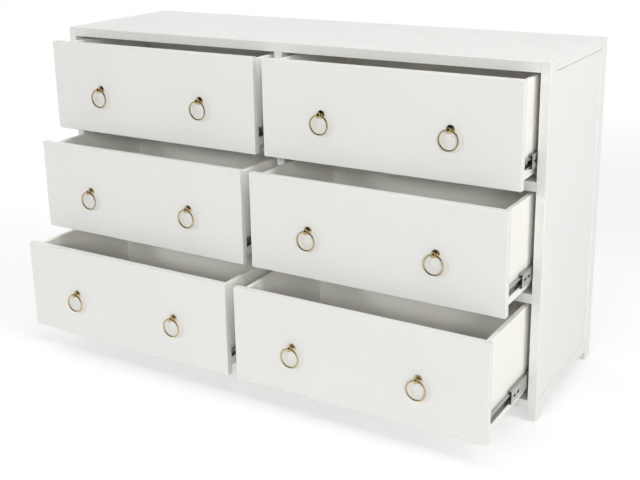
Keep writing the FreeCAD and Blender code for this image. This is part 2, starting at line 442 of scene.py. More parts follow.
POLISHED_BRASS = MetalFinish(
    name="polished_brass",
    colour=(0.600, 0.475, 0.250, 1.0),
    tint=(0.480, 0.360, 0.170, 1.0),
    drift=(110.0, 0.7),
    stretch=(900.0, 2600.0, 900.0),
    sheen=(0.10, 0.20),
    relief=(420.0, 90.0, 0.00001),
)
ZINC_STEEL = MetalFinish(
    name="zinc_steel",
    colour=(0.560, 0.560, 0.535, 1.0),
    tint=(0.440, 0.440, 0.418, 1.0),
    drift=(160.0, 0.8),
    stretch=(2400.0, 30.0, 2400.0),
    sheen=(0.26, 0.42),
    relief=(1300.0, 140.0, 0.00002),
)
SCREW_STEEL = MetalFinish(
    name="screw_steel",
    colour=(0.560, 0.555, 0.530, 1.0),
    tint=(0.420, 0.412, 0.390, 1.0),
    drift=(500.0, 0.8),
    stretch=(1800.0, 1800.0, 1800.0),
    sheen=(0.30, 0.48),
    relief=(2000.0, 400.0, 0.00002),
)


@dataclass(frozen=True)
class Rounding:
    """How an edge is rounded: by which radius, and in how many faces."""

    radius: float
    faces: int = 4


def add_object(name: str, data: bpy.types.ID) -> Piece:
    """Adds an object to the scene.

    Args:
        name: the object's name.
        data: its mesh, lamp or camera.

    Returns:
        The object.
    """
    added = bpy.data.objects.new(name, data)
    bpy.context.scene.collection.objects.link(added)
    return added


class Bench:
    """Modelling by hand: each operation works on pieces that alone are selected."""

    easing: Rounding = Rounding(0.0004, 2)
    sharp: float = math.radians(60)
    soft: float = math.radians(40)

    @staticmethod
    def select(*pieces: Piece) -> None:
        """Deselects everything, then selects these pieces.

        Args:
            pieces: the pieces, of which the last one becomes active.
        """
        bpy.ops.object.select_all(action="DESELECT")
        for piece in pieces:
            piece.select_set(True)
            bpy.context.view_layer.objects.active = piece

    @staticmethod
    def settle(name: str) -> Piece:
        """Names the primitive just added and puts its place into its mesh.

        Args:
            name: the piece's name.

        Returns:
            The piece.
        """
        piece = bpy.context.object
        bpy.ops.object.transform_apply(location=True, rotation=True, scale=True)
        piece.name = name
        piece.data.name = name
        return piece

    @staticmethod
    @contextmanager
    def editing(piece: Piece, mode: str) -> Iterator[bmesh.types.BMesh]:
        """Opens a piece in edit mode with nothing selected.

        Args:
            piece: the piece.
            mode: VERT, EDGE or FACE.

        Yields:
            The mesh that is edited.
        """
        Bench.select(piece)
        bpy.ops.object.mode_set(mode="EDIT")
        bpy.ops.mesh.select_mode(type=mode)
        bpy.ops.mesh.select_all(action="DESELECT")
        yield bmesh.from_edit_mesh(piece.data)
        bpy.ops.object.mode_set(mode="OBJECT")

    @staticmethod
    def modify(piece: Piece, kind: str, **settings: object) -> None:
        """Adds a modifier and applies it.

        Args:
            piece: the piece.
            kind: the modifier's type.
            settings: its settings.
        """
        modifier = piece.modifiers.new(kind.lower(), kind)
        for setting, value in settings.items():
            setattr(modifier, setting, value)
        Bench.select(piece)
        bpy.ops.object.modifier_apply(modifier=modifier.name)

    @staticmethod
    def block(name: str, span: Span) -> Piece:
        """Adds a block that fills a box.

        Args:
            name: the block's name.
            span: the box.

        Returns:
            The block.
        """
        Bench.select()
        bpy.ops.mesh.primitive_cube_add(size=1, location=span.centre, scale=span.size)
        return Bench.settle(name)

    @staticmethod
    def pick_edges(piece: Piece, mesh: bmesh.types.BMesh, *corners: Planes) -> None:
        """Selects edges of a piece in edit mode.

        Args:
            piece: the piece.
            mesh: its mesh.
            corners: groups of (axis, value) planes; an edge is in all the planes of one group.
        """
        for edge in mesh.edges:
            ends = [end.co for end in edge.verts]
            edge.select_set(
                any(
                    all(abs(end[axis] - value) < SAME_PLACE for end in ends for axis, value in planes)
                    for planes in corners
                )
            )
        bmesh.update_edit_mesh(piece.data)

    @staticmethod
    def round_edges(piece: Piece, rounding: Rounding, *corners: Planes) -> None:
        """Rounds edges of a piece.

        Args:
            piece: the piece.
            rounding: how they are rounded.
            corners: the edges, as for pick_edges.
        """
        radius, faces = rounding.radius, rounding.faces
        with Bench.editing(piece, "EDGE") as mesh:
            Bench.pick_edges(piece, mesh, *corners)
            bpy.ops.mesh.bevel(offset=radius, segments=faces, profile=0.5, affect="EDGES")

    @staticmethod
    def smooth(piece: Piece) -> Piece:
        """Shades a piece smooth across soft edges, with its flat faces kept flat.

        Args:
            piece: the piece.

        Returns:
            The same piece.
        """
        Bench.select(piece)
        bpy.ops.object.shade_smooth_by_angle(angle=Bench.soft)
        Bench.modify(piece, "WEIGHTED_NORMAL", keep_sharp=True)
        return piece

    @staticmethod
    def eased(piece: Piece) -> Piece:
        """Eases a piece's sharp edges by a hairline and shades it.

        Args:
            piece: the piece.

        Returns:
            The same piece.
        """
        width, segments = Bench.easing.radius, Bench.easing.faces
        limit = {"limit_method": "ANGLE", "angle_limit": Bench.sharp}
        Bench.modify(piece, "BEVEL", width=width, segments=segments, **limit)
        return Bench.smooth(piece)

    @staticmethod
    def board(
        name: str, span: Span, rounding: Rounding | None = None, *corners: Planes, housed: bool = False
    ) -> Piece:
        """Makes a board with some edges rounded and a hairline easing on the rest.

        Args:
            name: the board's name.
            span: its box.
            rounding: how those edges are rounded.
            corners: the edges to round, as for pick_edges.
            housed: whether its other edges meet their neighbours closely and stay sharp.

        Returns:
            The board.
        """
        piece = Bench.block(name, span)
        if rounding:
            Bench.round_edges(piece, rounding, *corners)
        return Bench.smooth(piece) if housed else Bench.eased(piece)

    @staticmethod
    def turn(name: str, outline: Outline, sides: int) -> Piece:
        """Turns a piece about the axis that leaves the origin towards the front.

        Args:
            name: the piece's name.
            outline: (radius, reach) points from its back to its front.
            sides: how many sides its rings have.

        Returns:
            The turned piece, closed at both ends.
        """
        Bench.select()
        radius, reach = outline[0]
        bpy.ops.mesh.primitive_circle_add(
            vertices=sides,
            radius=radius,
            fill_type="NGON",
            location=(0, -reach, 0),
            rotation=(math.pi / 2, 0, 0),
        )
        piece = Bench.settle(name)
        with Bench.editing(piece, "FACE"):
            bpy.ops.mesh.select_all(action="SELECT")
            for (radius, reach), (next_radius, next_reach) in zip(outline, outline[1:]):
                step = {"value": (0, reach - next_reach, 0)}
                bpy.ops.mesh.extrude_region_move(TRANSFORM_OT_translate=step)
                grow = next_radius / radius
                bpy.ops.transform.resize(value=(grow, 1, grow), center_override=(0, -next_reach, 0))
            bpy.ops.mesh.select_all(action="SELECT")
            bpy.ops.mesh.normals_make_consistent(inside=False)
        return piece

    @staticmethod
    def cut(piece: Piece, cutter: Piece) -> None:
        """Cuts a piece by another, which is used up."""
        Bench.modify(piece, "BOOLEAN", operation="DIFFERENCE", solver="EXACT", object=cutter)
        Bench.discard(cutter)

    @staticmethod
    def copy(master: Piece, name: str, place: Matrix) -> Piece:
        """Copies a piece with its own mesh.

        Args:
            master: the piece to copy.
            name: the copy's name.
            place: how the copy is turned, mirrored and moved.

        Returns:
            The copy.
        """
        twin = add_object(name, master.data.copy())
        twin.data.name = name
        twin.data.transform(place)
        if place.determinant() < 0:
            twin.data.flip_normals()
        return twin

    @staticmethod
    def join(name: str, pieces: Sequence[Piece]) -> Piece:
        """Joins pieces into one.

        Args:
            name: the whole's name.
            pieces: the pieces.

        Returns:
            The whole.
        """
        Bench.select(*pieces)
        if len(pieces) > 1:
            bpy.ops.object.join()
        whole = bpy.context.object
        whole.name = name
        whole.data.name = name
        return whole

    @staticmethod
    def discard(*pieces: Piece) -> None:
        """Takes pieces out of the scene with their meshes."""
        for piece in pieces:
            bpy.data.meshes.remove(piece.data)


class Palette:
    """The finishes as materials, and how a finished piece gets one."""

    def __init__(self) -> None:
        """Builds every finish."""
        effects = EffectShelf()
        painted = (WHITE_LACQUER, DRAWER_BOARD, BACK_BOARD, GLIDE_PLASTIC)
        plated = (POLISHED_BRASS, ZINC_STEEL, SCREW_STEEL)
        self.materials = {finish.name: finish.material(effects) for finish in (*painted, *plated)}

    def dress(self, piece: Piece, finish: Finish, slot: str, body: str, *nodes: str) -> None:
        """Gives a finished piece its material and body, and hides the frame nodes that it stands for.

        Args:
            piece: the piece.
            finish: its finish.
            slot: a material slot; not used.
            body: the body that it moves with.
            nodes: the frame nodes that it replaces.
        """
        piece.data.materials.clear()
        piece.data.materials.append(self.materials[finish.name])
        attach(piece, body)
        if nodes:
            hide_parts(*nodes)
        LOG.info("%s: %d faces, on %s", piece.name, len(piece.data.polygons), body)


@dataclass
class ScrewBox:
    """Cross-head screws: one head modelled once, and copied to wherever it is driven in."""

    head_radius: float = 0.0036
    head_height: float = 0.0017
    rim_share: float = 0.35
    crown_share: float = 0.62
    cross_length: float = 0.0042
    cross_width: float = 0.0011
    cross_depth: float = 0.0010
    play: float = 0.0003
    sides: int = 20

    def __post_init__(self) -> None:
        """Models the head, facing the front from the origin."""
        radius, height = self.head_radius, self.head_height
        outline = (
            (radius, 0.0),
            (radius, height * self.rim_share),
            (radius * (1 + self.crown_share) / 2, height * (1 + self.rim_share) / 2),
            (radius * self.crown_share, height),
        )
        self.head = Bench.turn("screw_head", outline, self.sides)
        half_length, half_width = self.cross_length / 2, self.cross_width / 2
        depth = (-2 * height, self.cross_depth - height)
        for across, up in ((half_length, half_width), (half_width, half_length)):
            Bench.cut(self.head, Bench.block("cross", Span.between((-across, across), depth, (-up, up))))

    @staticmethod
    def row(
        master: Piece, name: str, places: Sequence[Vector], facing: Vector, share: float = 1.0
    ) -> Piece:
        """Copies a turned piece to each place of a row.

        Args:
            master: the piece, which looks to the front from the origin.
            name: the row's name.
            places: where the copies sit.
            facing: which way they look.
            share: how much of the piece's length they have.

        Returns:
            The copies as one piece.
        """
        turn = FORWARD.rotation_difference(facing).to_matrix().to_4x4()
        flat = Matrix.Diagonal((1, share, 1, 1))
        copies = [Bench.copy(master, name, Matrix.Translation(place) @ turn @ flat) for place in places]
        return Bench.join(name, copies)

    def drive(self, name: str, places: Sequence[Vector], facing: Vector, share: float = 1.0) -> Piece:
        """Drives a row of screws, of whose heads this share stands proud."""
        return Bench.smooth(self.row(self.head, name, places, facing, share))

    def counterbores(self, places: Sequence[Vector], facing: Vector) -> Piece:
        """Makes the round holes that let a row of heads sink in.

        Args:
            places: where each head sits.
            facing: which way the heads look.

        Returns:
            The cutter for all the holes.
        """
        radius = self.head_radius + self.play
        hole = Bench.turn("hole", ((radius, 0.0), (radius, 2 * self.head_height)), self.sides)
        holes = self.row(hole, "holes", places, facing)
        Bench.discard(hole)
        return holes


@dataclass
class RingPull:
    """A ring pull: a turned brass post with an eye across it, and the wire ring that hangs there."""

    post_sides: int = 48
    ring_steps: int = 96
    wire_sides: int = 20
    eye_sides: int = 32
    eye_radius: float = 0.00263
    eye_reach: float = 0.0115
    rosette_radius: float = 0.010
    rosette_thickness: float = 0.0025
    rosette_step: float = 0.0012
    neck_radius: float = 0.004
    knob_radius: float = 0.0055
    knob_start: float = 0.007
    knob_end: float = 0.016
    crown: float = 0.0024
    crown_steps: int = 6
    crown_short: float = 0.4
    crown_taper: float = 0.8
    rosette_shares: Outline = (
        (-0.25, 0.0), (0.0, 0.25), (0.0, 1.0), (-0.25, 1.25), (-1.0, 1.4), (-2.0, 1.6),
    )
    foot_shares: Outline = ((1.0, 0.0), (1 / 3, 0.5), (0.0, 1.2))
    waist_shares: Outline = ((0.0, -1.0), (1 / 3, -1 / 3))
    shoulder_shares: Outline = ((-0.25, 0.0), (0.0, 0.5))
    wire_radius: float = 0.002
    ring_radius: float = 0.023

    def __post_init__(self) -> None:
        """Models one post and one ring."""
        self.post = self.turned_post()
        self.ring = self.bent_ring()

    def turned_post(self) -> Piece:
        """Turns a post with a stepped rosette, a waisted neck and a crowned knob, and drills its eye.

        Returns:
            The post, which leaves the origin towards the front.
        """
        knob, step = self.knob_radius, self.rosette_step
        outline = []
        for radius, start, shares in (
            (self.rosette_radius, 0.0, self.rosette_shares),
            (self.neck_radius, self.rosette_thickness, self.foot_shares),
            (self.neck_radius, self.knob_start, self.waist_shares),
            (knob, self.knob_start, self.shoulder_shares),
        ):
            outline += [(radius + step * wide, start + step * deep) for wide, deep in shares]
        for number in range(self.crown_steps + 1):
            angle = math.pi / 2 * number / (self.crown_steps + self.crown_short)
            reach = self.knob_end - self.crown * (1 - math.sin(angle))
            outline.append((knob * (1 - (1 - math.cos(angle)) * self.crown_taper), reach))
        post = Bench.turn("post", outline, self.post_sides)
        Bench.select()
        bpy.ops.mesh.primitive_cylinder_add(
            vertices=self.eye_sides,
            radius=self.eye_radius,
            depth=4 * knob,
            location=(0, -self.eye_reach, 0),
            rotation=(0, math.pi / 2, 0),
        )
        Bench.cut(post, Bench.settle("eye"))
        return post

    def bent_ring(self) -> Piece:
        """Bends round wire into a ring.

        Returns:
            The ring, about the origin and in the plane of the drawer's front.
        """
        Bench.select()
        bpy.ops.mesh.primitive_circle_add(
            vertices=self.wire_sides,
            radius=self.wire_radius,
            location=(0, 0, self.ring_radius),
            rotation=(0, math.pi / 2, 0),
        )
        ring = Bench.settle("ring")
        with Bench.editing(ring, "EDGE"):
            bpy.ops.mesh.select_all(action="SELECT")
            bpy.ops.mesh.spin(steps=self.ring_steps, angle=math.tau, center=(0, 0, 0), axis=(0, 1, 0))
            bpy.ops.mesh.select_all(action="SELECT")
            bpy.ops.mesh.remove_doubles(threshold=SAME_PLACE)
            bpy.ops.mesh.normals_make_consistent(inside=False)
        return ring


@dataclass(frozen=True)
class RunnerPlace:
    """Where one runner is fixed: its wall, the way that its drawer lies from there, and its height."""

    wall: float
    towards: int
    height: float

    def reach(self, span: Span) -> Pair:
        """How far a box's near and far faces stand from the wall."""
        return tuple(sorted((value - self.wall) * self.towards for value in span.along(X)))

    def matrix(self, start: float) -> Matrix:
        """Moves a pressed piece to its place, with its front end at this y."""
        mirror = Matrix.Diagonal((self.towards, 1, 1, 1))
        return Matrix.Translation((self.wall, start, self.height)) @ mirror


@dataclass
class RunnerPress:
    """Presses the channels of a telescopic runner and the ball cages between them.

    A pressed piece has X away from the case wall, Y from its front end to the back, Z from mid-height.
    """

    steel: float = 0.0012
    tight_bend: float = 0.0015
    round_bend: float = 0.0024
    bend_steps: int = 5
    race_half: float = 0.0017
    race_depth: float = 0.0004
    race_shares: tuple[float, ...] = (-1.0, -0.75, -0.4, 0.0, 0.4, 0.75, 1.0)
    lip: float = 0.0022
    slot_length: float = 0.013
    slot_width: float = 0.006
    slot_places: tuple[float, ...] = (0.018, 0.040)
    slot_round_share: float = 0.96
    slot_faces: int = 6
    stop_height: float = 0.012
    cage_sheet: float = 0.0005
    ball_radius: float = 0.002
    ball_reach: float = 0.0068
    ball_count: int = 9
    ball_sides: int = 10
    ball_rings: int = 6
    arm_reach: float = 0.0084

    @staticmethod
    def folded(
        name: str, web: float, folds: Outline, half: float, length: float, thickness: float
    ) -> Piece:
        """Folds a strip of sheet: its web first, and then the same folds at its upper and lower edge.

        Args:
            name: the strip's name.
            web: how far the web stands from the wall.
            folds: (reach, height) points of the upper fold from the web on.
            half: half the web's height.
            length: the strip's length.
            thickness: the sheet's thickness, half of it on each side of the folds.

        Returns:
            The strip.
        """
        Bench.select()
        middle = (web, length / 2, 0)
        bpy.ops.mesh.primitive_plane_add(size=1, location=middle, rotation=(0, math.pi / 2, 0))
        strip = Bench.settle(name)
        with Bench.editing(strip, "FACE"):
            bpy.ops.mesh.select_all(action="SELECT")
            bpy.ops.transform.resize(value=(1, length, 2 * half), center_override=middle)
        for up in (1, -1):
            with Bench.editing(strip, "EDGE") as mesh:
                Bench.pick_edges(strip, mesh, ((X, web), (Z, up * half)))
                here = (web, half)
                for there in folds:
                    step = (there[0] - here[0], 0, up * (there[1] - here[1]))
                    bpy.ops.mesh.extrude_edges_move(TRANSFORM_OT_translate={"value": step})
                    here = there
        with Bench.editing(strip, "FACE"):
            bpy.ops.mesh.select_all(action="SELECT")
            bpy.ops.mesh.normals_make_consistent(inside=False)
        Bench.modify(strip, "SOLIDIFY", thickness=thickness, offset=0.0, use_even_offset=True)
        return strip

    def channel(
        self, name: str, ends: Pair, span: Span, bend: float, race: Sequence[float] = ()
    ) -> Piece:
        """Presses a lipped channel.

        Args:
            name: the channel's name.
            ends: how far the back of its web and the tips of its flanges stand from the wall.
            span: its box.
            bend: the radius between its web and its flanges.
            race: where the points of a ball race lie across each flange, as shares of its half width.

        Returns:
            The channel.
        """
        web, tip = ends
        out = math.copysign(1, tip - web)
        sheet, half, curl = self.steel / 2, span.size.z / 2, self.tight_bend
        web_line, flange, lip_line = web + out * sheet, half - sheet, tip - out * sheet
        turns = [math.pi / 2 * step / self.bend_steps for step in range(1, self.bend_steps + 1)]
        rise = flange - bend
        folds = [
            (web_line + out * bend * (1 - math.cos(turn)), rise + bend * math.sin(turn))
            for turn in turns
        ]
        for share in race:
            depth = self.race_depth * (1 - share * share)
            folds.append((self.ball_reach + out * share * self.race_half, flange - depth))
        folds += [
            (lip_line - out * curl * (1 - math.sin(turn)), flange - curl * (1 - math.cos(turn)))
            for turn in [0.0, *turns]
        ]
        folds.append((lip_line, half - self.lip - self.steel))
        return self.folded(name, web_line, folds, rise, span.size.y, self.steel)

    def fixed_channel(self, place: RunnerPlace, span: Span) -> Piece:
        """The channel on the case wall."""
        return self.channel("fixed_channel", place.reach(span), span, self.tight_bend)

    def middle_channel(self, place: RunnerPlace, span: Span) -> Piece:
        """Presses the channel half way out, with slots through its web near the front.

        Args:
            place: where the runner is fixed.
            span: the box that the piece fills.

        Returns:
            The channel.
        """
        near, far = place.reach(span)
        piece = self.channel("middle_channel", (near, far), span, self.round_bend, self.race_shares)
        across = (near - self.steel, near + 2 * self.steel)
        rise = self.slot_width / 2
        rounding = Rounding(rise * self.slot_round_share, self.slot_faces)
        for middle in self.slot_places:
            ends = (middle - self.slot_length / 2, middle + self.slot_length / 2)
            cutter = Bench.block("slot", Span.between(across, ends, (-rise, rise)))
            corners = [((Y, end), (Z, edge)) for end in ends for edge in (-rise, rise)]
            Bench.round_edges(cutter, rounding, *corners)
            Bench.cut(piece, cutter)
        return piece

    def drawer_channel(self, place: RunnerPlace, span: Span) -> Piece:
        """Presses the channel on the drawer's side, with a stop tab across its front end.

        Args:
            place: where the runner is fixed.
            span: the box that the piece fills.

        Returns:
            The channel, open to the wall.
        """
        near, far = place.reach(span)
        piece = self.channel("drawer_channel", (far, near), span, self.tight_bend)
        rise = self.stop_height / 2
        span = Span.between((near, far - self.steel), (0, self.steel), (-rise, rise))
        tab = Bench.block("tab", span)
        corners = [((X, near), (Z, edge)) for edge in (-rise, rise)]
        Bench.round_edges(tab, Rounding(self.steel), *corners)
        return Bench.join("drawer_channel", [tab, piece])

    def ball_cage(self, place: RunnerPlace, span: Span) -> Piece:
        """Presses a cage of thin sheet, with a row of balls along each of its arms.

        Args:
            place: where the runner is fixed.
            span: the box that the piece fills.

        Returns:
            The cage.
        """
        near, length = place.reach(span)[0], span.size.y
        rise = span.size.z / 2 - self.ball_radius
        sheet = self.cage_sheet / 2
        half = rise - sheet
        arm = (self.arm_reach, half)
        piece = self.folded("ball_cage", near + sheet, [arm], half, length, self.cage_sheet)
        Bench.select()
        bpy.ops.mesh.primitive_uv_sphere_add(
            segments=self.ball_sides, ring_count=self.ball_rings, radius=self.ball_radius
        )
        ball = Bench.settle("ball")
        pitch = length / self.ball_count
        places = [
            (self.ball_reach, (number + 0.5) * pitch, up * rise)
            for number in range(self.ball_count)
            for up in (-1, 1)
        ]
        balls = [Bench.copy(ball, "ball", Matrix.Translation(place)) for place in places]
        Bench.discard(ball)
        return Bench.join("ball_cage", [*balls, piece])


@dataclass
class Drawer:
    """One drawer: its front, tray, pulls and pair of runners."""

    row: Row
    bay: Side
    front_round: Rounding = Rounding(0.0014)
    tray_round: Rounding = Rounding(0.002)
    side_thickness: float = 0.012
    back_thickness: float = 0.012
    bottom_thickness: float = 0.005
    bottom_inset: float = 0.010
    screw_shares: tuple[float, ...] = (0.10, 0.45, 0.90)

    def __post_init__(self) -> None:
        """Reads the drawer's front and tray from the frame."""
        self.name = f"{self.row.value}_{self.bay.value}"
        self.body = f"{self.name}_drawer"
        self.front = Span.of(f"{self.name}_drawer_front")
        self.tray = Span.of(f"{self.name}_drawer_box")

    def build_front(self, palette: Palette) -> None:
        """Builds the lacquered front, its face edges rounded.

        Args:
            palette: the finishes.
        """
        face = self.front.low.y
        sides = [((Y, face), (X, value)) for value in self.front.along(X)]
        ends = [((Y, face), (Z, value)) for value in self.front.along(Z)]
        piece = Bench.board(f"{self.name}_front_board", self.front, self.front_round, *sides, *ends)
        palette.dress(piece, WHITE_LACQUER, "white_lacquer", self.body, f"{self.name}_drawer_front")

    def build_tray(self, palette: Palette) -> None:
        """Builds the drawer's two sides, back and bottom, with rounded upper edges.

        Args:
            palette: the finishes.
        """
        low, high = self.tray.low, self.tray.high
        start, back = self.front.high.y, high.y - self.back_thickness
        left, right = low.x + self.side_thickness, high.x - self.side_thickness
        floor = (low.z + self.bottom_inset, low.z + self.bottom_inset + self.bottom_thickness)
        top = (Z, high.z)
        boards = []
        for across in ((low.x, left), (right, high.x)):
            span = Span.between(across, (start, high.y), (low.z, high.z))
            edges = [(top, (X, value)) for value in across]
            boards.append(Bench.board("side", span, self.tray_round, *edges))
        span = Span.between((left, right), (back, high.y), (floor[1], high.z))
        edges = [(top, (Y, value)) for value in (back, high.y)]
        boards.append(Bench.board("back", span, self.tray_round, *edges, housed=True))
        span = Span.between((left, right), (start, high.y), floor)
        boards.append(Bench.board("bottom", span, housed=True))
        piece = Bench.join(f"{self.name}_tray_boards", boards)
        palette.dress(piece, DRAWER_BOARD, "drawer_board", self.body, f"{self.name}_drawer_box")

    def build_pulls(self, palette: Palette, pull: RingPull, screws: ScrewBox, nodes: Nodes) -> None:
        """Builds the two posts with their screws, and the two rings.

        Args:
            palette: the finishes.
            pull: the pull to copy.
            screws: the screws.
            nodes: the frame's nodes.
        """
        posts = solids(nodes[f"{self.name}_pull_posts"])
        places = [Vector((post.centre.x, self.front.low.y, post.centre.z)) for post in posts]
        copies = [Bench.copy(pull.post, "post", Matrix.Translation(place)) for place in places]
        piece = Bench.smooth(Bench.join(f"{self.name}_turned_posts", copies))
        palette.dress(piece, POLISHED_BRASS, "brass", self.body, f"{self.name}_pull_posts")
        behind = [Vector((place.x, self.front.high.y, place.z)) for place in places]
        piece = screws.drive(f"{self.name}_pull_screws", behind, BACKWARD)
        palette.dress(piece, SCREW_STEEL, "zinc_steel", self.body)
        for side in Side:
            node = f"{self.name}_drawer_{side.value}_ring"
            place = Matrix.Translation(Span.of(node).centre)
            piece = Bench.smooth(Bench.copy(pull.ring, f"{self.name}_{side.value}_wire_ring", place))
            palette.dress(piece, POLISHED_BRASS, "brass", f"{self.name}_{side.value}_ring", node)

    def runner_places(self, nodes: Nodes) -> list[RunnerPlace]:
        """Finds where the drawer's runners are fixed.

        Args:
            nodes: the frame's nodes.

        Returns:
            The places of the left and of the right one.
        """
        middle = self.front.centre.x
        height = Span.of(f"{self.name}_drawer_runners").centre.z
        places = []
        for span in solids(nodes[f"{self.bay.value}_case_runners"]):
            if span.low.z < height < span.high.z:
                wall, towards = (span.low.x, 1) if span.centre.x < middle else (span.high.x, -1)
                places.append(RunnerPlace(wall, towards, height))
        return places


@dataclass
class RunnerSet:
    """Every runner of the chest: the pieces pressed once, then copied to each drawer."""

    press: RunnerPress
    nodes: Nodes
    screws: ScrewBox
    palette: Palette
    fixed_shares: tuple[float, ...] = (0.09, 0.5, 0.91)
    flat_head_share: float = 0.12

    def parts(self, node: str, place: RunnerPlace) -> list[Span]:
        """Finds the solids of a node that belong to one runner.

        Args:
            node: the node's name.
            place: where the runner is fixed.

        Returns:
            Their boxes, longest and tallest first.
        """
        own = []
        for span in solids(self.nodes[node]):
            near, far = place.reach(span)
            if near >= 0 and far < 2 * self.gap and span.low.z < place.height < span.high.z:
                own.append(span)
        return sorted(own, key=lambda span: (-round(span.size.y, 3), -span.size.z))

    def prepare(self, drawer: Drawer) -> None:
        """Presses one of each piece.

        Args:
            drawer: the drawer whose left runner gives the sizes.
        """
        place = drawer.runner_places(self.nodes)[0]
        self.gap = drawer.tray.low.x - place.wall
        fixed = self.parts(f"{drawer.bay.value}_case_runners", place)[0]
        middle, *cages = self.parts(f"{drawer.name}_runner_slides", place)
        held = self.parts(f"{drawer.name}_drawer_runners", place)[0]
        self.fixed = self.press.fixed_channel(place, fixed)
        self.middle = self.press.middle_channel(place, middle)
        self.cages = [self.press.ball_cage(place, span) for span in cages]
        self.held = self.press.drawer_channel(place, held)

    def build_drawer(self, drawer: Drawer) -> None:
        """Builds a drawer's own channels with their screws, and its middle channels with their cages.

        Args:
            drawer: the drawer.
        """
        name = drawer.name
        held, sliding, cages, screws = [], [], [], []
        for place in drawer.runner_places(self.nodes):
            middle, *cage_spans = self.parts(f"{name}_runner_slides", place)
            span = self.parts(f"{name}_drawer_runners", place)[0]
            held.append(Bench.copy(self.held, "held", place.matrix(span.low.y)))
            sliding.append(Bench.copy(self.middle, "middle", place.matrix(middle.low.y)))
            for master, cage in zip(self.cages, cage_spans):
                cages.append(Bench.copy(master, "cage", place.matrix(cage.low.y)))
            seat = place.wall + place.towards * (self.gap - self.press.steel)
            along = [span.low.y + share * span.size.y for share in drawer.screw_shares]
            heads = [Vector((seat, y, place.height)) for y in along]
            screws.append(self.screws.drive("screws", heads, Vector((-place.towards, 0, 0))))
        for title, pieces, finish, body, *nodes in (
            ("drawer_channels", held, ZINC_STEEL, "drawer", f"{name}_drawer_runners"),
            ("middle_channels", sliding, ZINC_STEEL, "slides", f"{name}_runner_slides"),
            ("ball_cages", cages, SCREW_STEEL, "slides"),
        ):
            piece = Bench.smooth(Bench.join(f"{name}_{title}", pieces))
            self.palette.dress(piece, finish, "zinc_steel", f"{name}_{body}", *nodes)
        piece = Bench.join(f"{name}_runner_screws", screws)
        self.palette.dress(piece, SCREW_STEEL, "zinc_steel", f"{name}_drawer")

    def build_fixed(self, bay: Side, drawers: Sequence[Drawer]) -> None:
        """Builds the channels on the case walls of one bay, and their screws.

        Args:
            bay: the bay.
            drawers: the drawers in it.
        """
        node = f"{bay.value}_case_runners"
        channels, screws = [], []
        for place in [place for drawer in drawers for place in drawer.runner_places(self.nodes)]:
            span = self.parts(node, place)[0]
            channels.append(Bench.copy(self.fixed, "fixed", place.matrix(span.low.y)))
            seat = place.wall + place.towards * self.press.steel
            along = [span.low.y + share * span.size.y for share in self.fixed_shares]
            heads = [Vector((seat, y, place.height)) for y in along]
            facing = Vector((place.towards, 0, 0))
            screws.append(self.screws.drive("screws", heads, facing, self.flat_head_share))
        piece = Bench.smooth(Bench.join(f"{bay.value}_fixed_channels", channels))
        self.palette.dress(piece, ZINC_STEEL, "zinc_steel", "case", node)
        piece = Bench.join(f"{bay.value}_channel_screws", screws)
        self.palette.dress(piece, SCREW_STEEL, "zinc_steel", "case")

    def clear(self) -> None:
        """Takes the masters away."""
        Bench.discard(self.fixed, self.middle, self.held, *self.cages)


